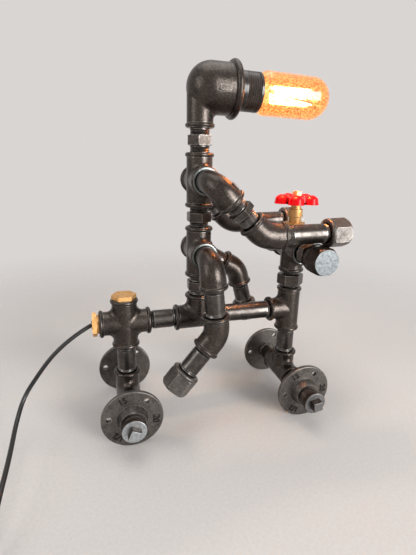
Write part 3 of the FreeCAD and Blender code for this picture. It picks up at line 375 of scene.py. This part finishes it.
def ground_ends(name, dull, bright, front_polish):
    """Scratched steel where the object faces sideways along Y, less so in front, brown elsewhere."""
    material = new_material(name)
    where = add_node(material, "ShaderNodeTexCoord")
    sideways = add_node(material, "ShaderNodeSeparateXYZ", {"Vector": where.outputs["Normal"]}).outputs["Y"]
    facing = add_node(material, "ShaderNodeMath", {0: sideways}, operation="ABSOLUTE")
    end_face = add_node(material, "ShaderNodeMapRange", {
        "Value": facing, "From Min": 0.8, "From Max": 0.95})
    forward = add_node(material, "ShaderNodeSeparateXYZ", {
        "Vector": where.outputs["Object"]}).outputs["X"]
    polish = add_node(material, "ShaderNodeMapRange", {
        "Value": forward, "From Min": -0.05, "From Max": 0.05, "To Min": 1.0, "To Max": front_polish})
    ground = add_node(material, "ShaderNodeMath", {0: end_face, 1: polish}, operation="MULTIPLY")
    scratch = add_node(material, "ShaderNodeTexNoise", {
        "Vector": where.outputs["Object"], "Scale": per_mm(SCRATCH), "Detail": 5.0, "Roughness": 0.65})
    share = add_node(material, "ShaderNodeMapRange", {"Value": scratch} | NOISE_MIDDLE)
    steel = add_node(material, "ShaderNodeMix", {
        SHARE: share, UNDER: dull, OVER: bright}, data_type="RGBA").outputs[MIXED]
    brown = add_node(material, "ShaderNodeMix", {
        SHARE: share, UNDER: OILY_BROWN[0], OVER: OILY_BROWN[1]}, data_type="RGBA").outputs[MIXED]
    colour = add_node(material, "ShaderNodeMix", {
        SHARE: ground, UNDER: brown, OVER: steel}, data_type="RGBA").outputs[MIXED]
    gloss = add_node(material, "ShaderNodeMapRange", {"Value": share, "To Min": 0.48, "To Max": 0.36})
    bump = add_node(material, "ShaderNodeBump", {
        "Height": scratch, "Strength": 0.5, "Distance": 0.25 * MM})
    shader = add_node(material, "ShaderNodeBsdfPrincipled", {
        "Base Color": colour, "Roughness": gloss, "Metallic": 0.95, "Normal": bump})
    add_node(material, "ShaderNodeOutputMaterial", {"Surface": shader})
    return material


# Turned steel caps, ground on their ends and then handled: dull grey ends.
CAP_ENDS = ground_ends("caps_with_ground_ends", "#515456", "#6c7072", 1.0)

# Steel plugs, ground on their ends: bright behind, where they were polished, and duller in front.
PLUG_ENDS = ground_ends("plugs_with_ground_ends", "#8f9396", "#bfc3c5", 0.35)
print("ground ends:", CAP_ENDS.name, PLUG_ENDS.name)

# %% [markdown]
# ## The bulb
# The glass is gold-tinted and blown against a wet mould, which leaves it mottled, so the glowing
# filament shows through it as one blurred white band and the glass itself lights up pale orange.
# Clear glass over a bright wire would need a haze in the air to glow, so the mottling gives off a
# little light of its own.  A low IOR keeps the far wall from bending the wire out of sight.

# %% Glass and filament
GLASS_TINTS = ("#dc9e58", "#fbe9cf")
GLASS_GLOW = "#ffa048"
MOTTLE = 2.0


def blown_glass():
    """Thin mottled glass that glows where its mottling is pale."""
    material = new_material("gold_tinted_blown_glass")
    place = add_node(material, "ShaderNodeTexCoord").outputs["Object"]
    dimple = add_node(material, "ShaderNodeTexNoise", {
        "Vector": place, "Scale": per_mm(MOTTLE), "Detail": 3.0, "Roughness": 0.75})
    share = add_node(material, "ShaderNodeMapRange", {"Value": dimple, "From Min": 0.4, "From Max": 0.6})
    tint = add_node(material, "ShaderNodeMix", {
        SHARE: share, UNDER: GLASS_TINTS[0], OVER: GLASS_TINTS[1]}, data_type="RGBA").outputs[MIXED]
    haze = add_node(material, "ShaderNodeMapRange", {
        "Value": dimple, "From Min": 0.44, "From Max": 0.58, "To Max": 0.5})
    bump = add_node(material, "ShaderNodeBump", {"Height": dimple, "Strength": 0.7, "Distance": 0.4 * MM})
    shader = add_node(material, "ShaderNodeBsdfPrincipled", {
        "Base Color": tint, "Roughness": 0.08, "IOR": 1.2, "Transmission Weight": 1.0,
        "Emission Color": GLASS_GLOW, "Emission Strength": haze, "Normal": bump,
        "Coat Weight": 0.7, "Coat Roughness": 0.04})
    add_node(material, "ShaderNodeOutputMaterial", {"Surface": shader})
    return material


def glowing_wire(name, colour, strength):
    """Thin wire that glows evenly."""
    material = new_material(name)
    shader = add_node(material, "ShaderNodeBsdfPrincipled", {
        "Base Color": colour, "Emission Color": colour, "Emission Strength": strength})
    add_node(material, "ShaderNodeOutputMaterial", {"Surface": shader})
    return material


# Gold-tinted glass, blown against a wet mould: mottled, amber, with a clear shine on its outside.
GLASS = blown_glass()

# Clear glass tube, flame worked: nearly white, hard to see inside the bulb.
STEM = surface("clear_stem_glass", ("#e9efe9", "#ffffff", 5.0), (0.1, 0.05), 0.0, (),
               **{"Transmission Weight": 1.0, "IOR": 1.3})

# Tungsten wire, drawn and coiled, at white heat: it only glows.
FILAMENT = glowing_wire("white_hot_tungsten", "#fff0d8", 70.0)
print("bulb:", GLASS.name, STEM.name, FILAMENT.name)

# %% [markdown]
# ## Dressing the nodes
# The record names a material slot for every node, so a table from slot to material dresses most of
# them in one loop.  A second table names the few whose finish differs from the rest of their slot.

# %% Dress the nodes
LOOKS = {
    "cast_iron": IRON, "pipe_steel": STEEL, "bright_steel": PLUG_ENDS, "brass": BRASS, "red_paint": RED,
    "black_plastic": BLACK, "cable_sheath": SHEATH, "bulb_glass": GLASS, "glass_stem": STEM,
    "filament": FILAMENT,
}
WHEELS = ("wheel_rear_right", "wheel_rear_left", "wheel_front_right", "wheel_front_left")
LIMB_CAPS = ("right_hand_cap", "left_hand_cap", "right_foot_cap", "left_foot_cap")
OWN_LOOKS = {"handlebar_caps": CAP_ENDS}
OWN_LOOKS |= {name: FACED_IRON for name in ("shoulder_cross", "hip_cross", "handlebar_cross")}
OWN_LOOKS |= {name: FLANGE_IRON for name in WHEELS + LIMB_CAPS}
slot_of = {part["node"]: part["material_slot"] for part in frame["record"]["subparts"]}
for name, item in NODES.items():
    item.data.materials.clear()
    item.data.materials.append(OWN_LOOKS.get(name, LOOKS[slot_of[name]]))
print(f"{len(NODES)} nodes dressed, {len(OWN_LOOKS)} of them in a finish of their own")

# %% [markdown]
# ## The mains cord
# A cord has one smooth line, so it is a NURBS curve with a round bevel: a few control points pull
# the line where gravity and the table put it, and the wound coil is more points of the same curve,
# worked out turn by turn.  A mesh sweep would need its own frames and would show facets.

# %% The cord's route and its coil
CORD_DIAMETER = 4.6 * MM
CORD_EXIT = (-137.05 * MM, 0.0, 121.0 * MM)
CORD_ROUTE = [
    (-152.25, -4.0, 114.5),
    (-177.65, -10.0, 96.0),
    (-196.65, -11.0, 71.5),
    (-212.15, -12.0, 48.5),
    (-217.15, -36.0, 33.5),
    (-216.15, -63.0, 30.8),
    (-215.45, -92.0, 28.8),
    (-216.15, -118.0, 25.5),
    (-217.65, -140.0, 17.0),
    (-219.05, -162.0, 7.0),
    (-218.65, -182.0, 3.0),
    (-218.95, -200.0, 3.0),
]
LAYERS = 2
TURNS_ACROSS = 5
TURNS_LEFT_OUT = 1.5
POINTS_PER_TURN = 16
coil_low, coil_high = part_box("cord_coil")
coil_middle = (coil_low + coil_high) / 2
outer_radius = (coil_high.x - coil_low.x) / 2 - CORD_DIAMETER / 2
first_height = coil_low.z + CORD_DIAMETER / 2


def coil_points():
    """Winds in from the rim to the hole on the table, then out again one layer up."""
    points = []
    turns = LAYERS * TURNS_ACROSS - TURNS_LEFT_OUT
    inner = TURNS_ACROSS - 1
    for step in range(int(turns * POINTS_PER_TURN) + 1):
        turn = step / POINTS_PER_TURN
        inward = min(turn, inner) - max(0, turn - inner - 1)
        radius = outer_radius - inward * CORD_DIAMETER
        rise = min(max(turn - inner, 0), 1) * CORD_DIAMETER
        angle = -2 * math.pi * turn
        points.append(coil_middle + Vector((radius * math.cos(angle), radius * math.sin(angle), 0)))
        points[-1].z = first_height + rise
    return points


print(f"coil: outer radius {outer_radius / MM:.1f} mm, {LAYERS * TURNS_ACROSS - TURNS_LEFT_OUT} turns")

# %% The whole route, from the brass plug into the mains plug
INTO_PLUG = (4.0, 18.0)
plug_low, plug_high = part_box("mains_plug")
plug_entry = Vector(((plug_low.x + plug_high.x) / 2, plug_low.y, (plug_low.z + plug_high.z) / 2))
route = [Vector(CORD_EXIT)] + [Vector(point) * MM for point in CORD_ROUTE] + coil_points()
route += [plug_entry + Vector((0, depth * MM, 0)) for depth in INTO_PLUG]
print(f"cord: {len(route)} control points")

# %% The cord itself
cord_curve = bpy.data.curves.new("mains_cord_line", "CURVE")
cord_curve.dimensions = "3D"
cord_curve.bevel_depth = CORD_DIAMETER / 2
cord_curve.bevel_resolution = 5
cord_curve.resolution_u = 6
cord_curve.materials.append(SHEATH)
line = cord_curve.splines.new("NURBS")
line.points.add(len(route) - 1)
for point, place in zip(line.points, route):
    point.co = (*place, 1)
line.order_u = 3
line.use_endpoint_u = True
cord = bpy.data.objects.new("cord", cord_curve)
bpy.context.collection.objects.link(cord)
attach(cord, "frame")
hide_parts("mains_cord", "cord_coil")
print(f"cord: {line.calc_length():.2f} m long, {CORD_DIAMETER / MM:.1f} mm across")

# %% [markdown]
# ## Standing a shape on a face
# Figures and ribs are modelled flat at the origin, where their sizes are easy to give, and then
# turned onto the face that carries them.  The object could be turned instead, but then a pattern on
# its coordinates would slide in the export, so the turn goes into the mesh.

# %% Helpers for small cast pieces
def onto_face(along, outward, middle):
    """The matrix that lays X along a face, points Z out of it, and brings the origin to its middle."""
    turn = Matrix((along, outward.cross(along), outward)).transposed().to_4x4()
    turn.translation = middle
    return turn


def cast_piece(name, shape, look, body):
    """A finished bmesh becomes an iron piece that rides on a body."""
    bmesh.ops.remove_doubles(shape, verts=shape.verts, dist=0.001 * MM)
    bmesh.ops.recalc_face_normals(shape, faces=shape.faces)
    mesh = bpy.data.meshes.new(name)
    shape.to_mesh(mesh)
    shape.free()
    mesh.materials.append(look)
    piece = bpy.data.objects.new(name, mesh)
    bpy.context.collection.objects.link(piece)
    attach(piece, body)
    print(f"{name}: {len(mesh.polygons)} faces")


# %% [markdown]
# ## Figures cast on the wheels
# A foundry raises the nominal size on a flange: 15 for the metric bore, 1/2 for the inch size.  The
# figures stand round the plate between its bolt holes.  Carving them would tear the CAD mesh, so
# they are letters from a text object, turned to a mesh and sunk a little into the iron.

# %% Raised figures
FIGURE_HEIGHT = 10.0
FIGURE_RISE = 0.6
FIGURE_BEVEL = 0.12
FIGURE_CIRCLE_RADIUS = 25.0
HUB_HEIGHT = 9.0
# In degrees: where each wheel's first bolt hole is, and how far past it each figure stands.
HOLE_CLOCKS = (52, 52, 62, 62)
FIGURES = (("15", 60), ("1/2", 180), ("20", 300))


def raised_figure(shape, words, middle, outward, upward):
    """Adds a text's mesh to a bmesh, standing on a face of the part."""
    lettering = bpy.data.curves.new("lettering", "FONT")
    lettering.body = words
    lettering.size = FIGURE_HEIGHT * MM
    lettering.extrude = FIGURE_RISE * MM
    lettering.bevel_depth = FIGURE_BEVEL * MM
    lettering.offset = FIGURE_BEVEL * MM
    lettering.align_x = "CENTER"
    lettering.align_y = "CENTER"
    holder = bpy.data.objects.new("lettering", lettering)
    bpy.context.collection.objects.link(holder)
    bpy.context.view_layer.update()
    mesh = bpy.data.meshes.new_from_object(holder.evaluated_get(bpy.context.evaluated_depsgraph_get()))
    mesh.transform(onto_face(upward.cross(outward), outward, middle))
    shape.from_mesh(mesh)
    bpy.data.objects.remove(holder)
    bpy.data.meshes.remove(mesh)


for name, clock in zip(WHEELS, HOLE_CLOCKS):
    low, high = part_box(name)
    side = -1 if low.y < 0 else 1
    hub_face = low.y if side < 0 else high.y
    plate_face = hub_face - side * HUB_HEIGHT * MM
    plate_middle = Vector(((low.x + high.x) / 2, plate_face, (low.z + high.z) / 2))
    shape = bmesh.new()
    for words, past_hole in FIGURES:
        angle = math.radians(clock + past_hole)
        radial = Vector((math.cos(angle), 0, math.sin(angle)))
        middle = plate_middle + radial * FIGURE_CIRCLE_RADIUS * MM
        raised_figure(shape, words, middle, Vector((0, side, 0)), radial)
    cast_piece(name + "_marks", shape, SHADE_DARK_FIGURE_IRON, "frame")

# %% [markdown]
# ## Ribs on the near arm
# Two short ribs stand on the right arm's elbows, cast on with them.  A curve with a round bevel
# would be too soft for them, so each is a cube, scaled to its size and bevelled to a crisp bar with
# soft edges.  Half of it is sunk into the iron, because the elbow's face is curved.

# %% Ribs on the right arm's elbows
SHOULDER_MIDDLE = Vector((-15.25, -53.4, 278.0))
SHOULDER_RIB_DOWN = 16.0
SHOULDER_RIB_OUT = 13.7
ELBOW_RIB_MIDDLE = Vector((57.2, -67.1, 224.7))
ELBOW_RIB_ALONG = Vector((1, 0, 0.024))
ARM_LEAN = math.radians(43.6)
# The shoulder's rib stands 30 degrees to the side of straight over the arm: sine 0.5, cosine 0.866.
ROLL_SINE, ROLL_COSINE = 0.5, 0.866
RIB_RISE = 1.0
RIB_BEVEL = 0.45


def rib(name, middle, along, outward, length, width):
    """A low bar with rounded edges, cast on a fitting of the right arm."""
    shape = bmesh.new()
    bmesh.ops.create_cube(shape, size=1.0)
    bmesh.ops.scale(shape, verts=shape.verts, vec=(length * MM, width * MM, 2 * RIB_RISE * MM))
    bmesh.ops.bevel(shape, geom=shape.edges[:], offset=RIB_BEVEL * MM, segments=3, affect="EDGES",
                    profile=0.5, material=-1)
    turn = onto_face(along.normalized(), outward.normalized(), middle * MM)
    bmesh.ops.transform(shape, matrix=turn, verts=shape.verts)
    cast_piece(name, shape, IRON, "right_arm")


down_arm = Vector((math.cos(ARM_LEAN), 0, -math.sin(ARM_LEAN)))
over_arm = Vector((math.sin(ARM_LEAN) * ROLL_COSINE, -ROLL_SINE, math.cos(ARM_LEAN) * ROLL_COSINE))
shoulder_rib_middle = SHOULDER_MIDDLE + down_arm * SHOULDER_RIB_DOWN + over_arm * SHOULDER_RIB_OUT
rib("right_shoulder_rib", shoulder_rib_middle, down_arm, over_arm, length=9.0, width=3.0)
rib("right_elbow_rib", ELBOW_RIB_MIDDLE, ELBOW_RIB_ALONG, Vector((0, -1, 0)), length=11.0, width=3.4)

# %% [markdown]
# ## The floor and the world
# The lamp stands on matt paper.  A floor with an edge would show a horizon, so the paper fades out
# with distance into a world of its own colour.  The world lights the object less than it shows, so
# that the pale background doesn't wash out the iron: a Light Path node tells the two uses apart.

# %% Floor
# Matt paper, pressed from pulp: pale and even, with almost no highlight.
PAPER_TONES = ("#cdc9c6", "#d3cfcc")
# Paper's fibres are far finer.  They are drawn at 3 mm, so that they show.
PAPER_FIBRE = 3.0
PAPER_HALF_WIDTH = 1.2
FADE_START = 0.25
FADE_END = 1.0


def fading_paper():
    """Matt paper near the lamp that gives way to the world further out."""
    material = new_material("studio_paper")
    place = add_node(material, "ShaderNodeTexCoord").outputs["Object"]
    fibre = add_node(material, "ShaderNodeTexNoise", {
        "Vector": place, "Scale": per_mm(PAPER_FIBRE), "Detail": 3.0})
    share = add_node(material, "ShaderNodeMapRange", {"Value": fibre} | NOISE_MIDDLE)
    colour = add_node(material, "ShaderNodeMix", {
        SHARE: share, UNDER: PAPER_TONES[0], OVER: PAPER_TONES[1]}, data_type="RGBA").outputs[MIXED]
    paper = add_node(material, "ShaderNodeBsdfPrincipled", {
        "Base Color": colour, "Roughness": 0.8, "Specular IOR Level": 0.1})
    distance = add_node(material, "ShaderNodeVectorMath", {0: place}, operation="LENGTH").outputs["Value"]
    fade = add_node(material, "ShaderNodeMapRange", {
        "Value": distance, "From Min": FADE_START, "From Max": FADE_END}, interpolation_type="SMOOTHSTEP")
    clear = add_node(material, "ShaderNodeBsdfTransparent")
    faded = add_node(material, "ShaderNodeMixShader", {0: fade, 1: paper, 2: clear})
    add_node(material, "ShaderNodeOutputMaterial", {"Surface": faded})
    return material


floor_mesh = bpy.data.meshes.new("studio_floor")
shape = bmesh.new()
bmesh.ops.create_grid(shape, x_segments=1, y_segments=1, size=PAPER_HALF_WIDTH)
shape.to_mesh(floor_mesh)
shape.free()
floor_mesh.materials.append(fading_paper())
floor = bpy.data.objects.new("studio_floor", floor_mesh)
bpy.context.collection.objects.link(floor)
floor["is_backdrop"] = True
print(f"paper {2 * PAPER_HALF_WIDTH} m wide")

# %% World
BACKDROP = "#d9d5d3"
WORLD_LIGHT = 0.62
world = bpy.data.worlds.new("studio_world")
world.use_nodes = True
bpy.context.scene.world = world
ray = add_node(world, "ShaderNodeLightPath").outputs
seen = add_node(world, "ShaderNodeMath", {
    0: ray["Is Camera Ray"], 1: ray["Is Glossy Ray"]}, operation="MAXIMUM")
seen = add_node(world, "ShaderNodeMath", {0: seen, 1: ray["Is Transmission Ray"]}, operation="MAXIMUM")
strength = add_node(world, "ShaderNodeMapRange", {"Value": seen, "To Min": WORLD_LIGHT, "To Max": 1.0})
background = world.node_tree.nodes["Background"]
background.inputs["Color"].default_value = linear(BACKDROP)
world.node_tree.links.new(strength.outputs["Result"], background.inputs["Strength"])
print(f"world lights at {WORLD_LIGHT} and shows at 1")

# %% [markdown]
# ## The lights
# One tall window at the right front gives the iron its long highlights, a weaker one fills the left,
# and a ceiling softens the top.  Small lamps close by would burn out the paper under them, so the
# window is large and far off.  The glass doesn't show the lights themselves, or it would look white.

# %% Studio lights
def soft_light(name, place, aim, width, height, watts):
    """A rectangular light that the camera and the glass don't show."""
    data = bpy.data.lights.new(name, "AREA")
    data.shape = "RECTANGLE"
    data.size = width
    data.size_y = height
    data.energy = watts
    light = bpy.data.objects.new(name, data)
    light.location = place
    light.rotation_euler = (Vector(aim) - Vector(place)).to_track_quat("-Z", "Y").to_euler()
    light.visible_camera = False
    light.visible_transmission = False
    bpy.context.collection.objects.link(light)
    print(f"{name}: {watts} W")


soft_light("window_right", place=(1.5, -2.5, 0.64), aim=(0, 0, 0.2), width=1.2, height=2.0, watts=132)
soft_light("window_left", place=(-1.3, -0.4, 0.8), aim=(0, 0, 0.2), width=0.5, height=0.8, watts=5)
soft_light("ceiling", place=(0.0, 0.1, 1.3), aim=(0, 0, 0), width=0.9, height=0.9, watts=5)

# %% [markdown]
# ## The filament's light
# The bulb warms the iron near it.  A thin glowing wire can't do that without a great deal of noise,
# so a small warm point light hangs at the filament and turns with the head.  Glass and wire throw no
# shadow of it, and light linking keeps it off the paper, which would turn orange.

# %% The filament's light
GLOW_COLOUR = "#ff8f3a"
GLOW_RADIUS = 12.0
GLOW_WATTS = 2.6
filament_low, filament_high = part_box("bulb_filament")
glow_data = bpy.data.lights.new("filament_glow", "POINT")
glow_data.color = linear(GLOW_COLOUR)[:3]
glow_data.energy = GLOW_WATTS
glow_data.shadow_soft_size = GLOW_RADIUS * MM
glow = bpy.data.objects.new("filament_glow", glow_data)
glow.location = (filament_low + filament_high) / 2
glow.parent = NODES["bulb_glass"]
glow.visible_camera = False
glow.visible_transmission = False
bpy.context.collection.objects.link(glow)
for name in ("bulb_glass", "bulb_stem", "bulb_filament"):
    NODES[name].visible_shadow = False
unlit_by_bulb = bpy.data.collections.new("unlit_by_bulb")
unlit_by_bulb.objects.link(floor)
unlit_by_bulb.collection_objects[0].light_linking.link_state = "EXCLUDE"
glow.light_linking.receiver_collection = unlit_by_bulb
print(f"filament glow: {GLOW_WATTS} W")

# %% [markdown]
# ## Colours as written, and the sizes
# A filmic view would grey the red and the brass, so the Standard view shows a colour as it is
# written.  The last cell prints the box of the dressed lamp.

# %% Finish
bpy.context.scene.view_settings.view_transform = "Standard"
low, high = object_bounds()
print(f"dressed lamp from {low} to {high}")
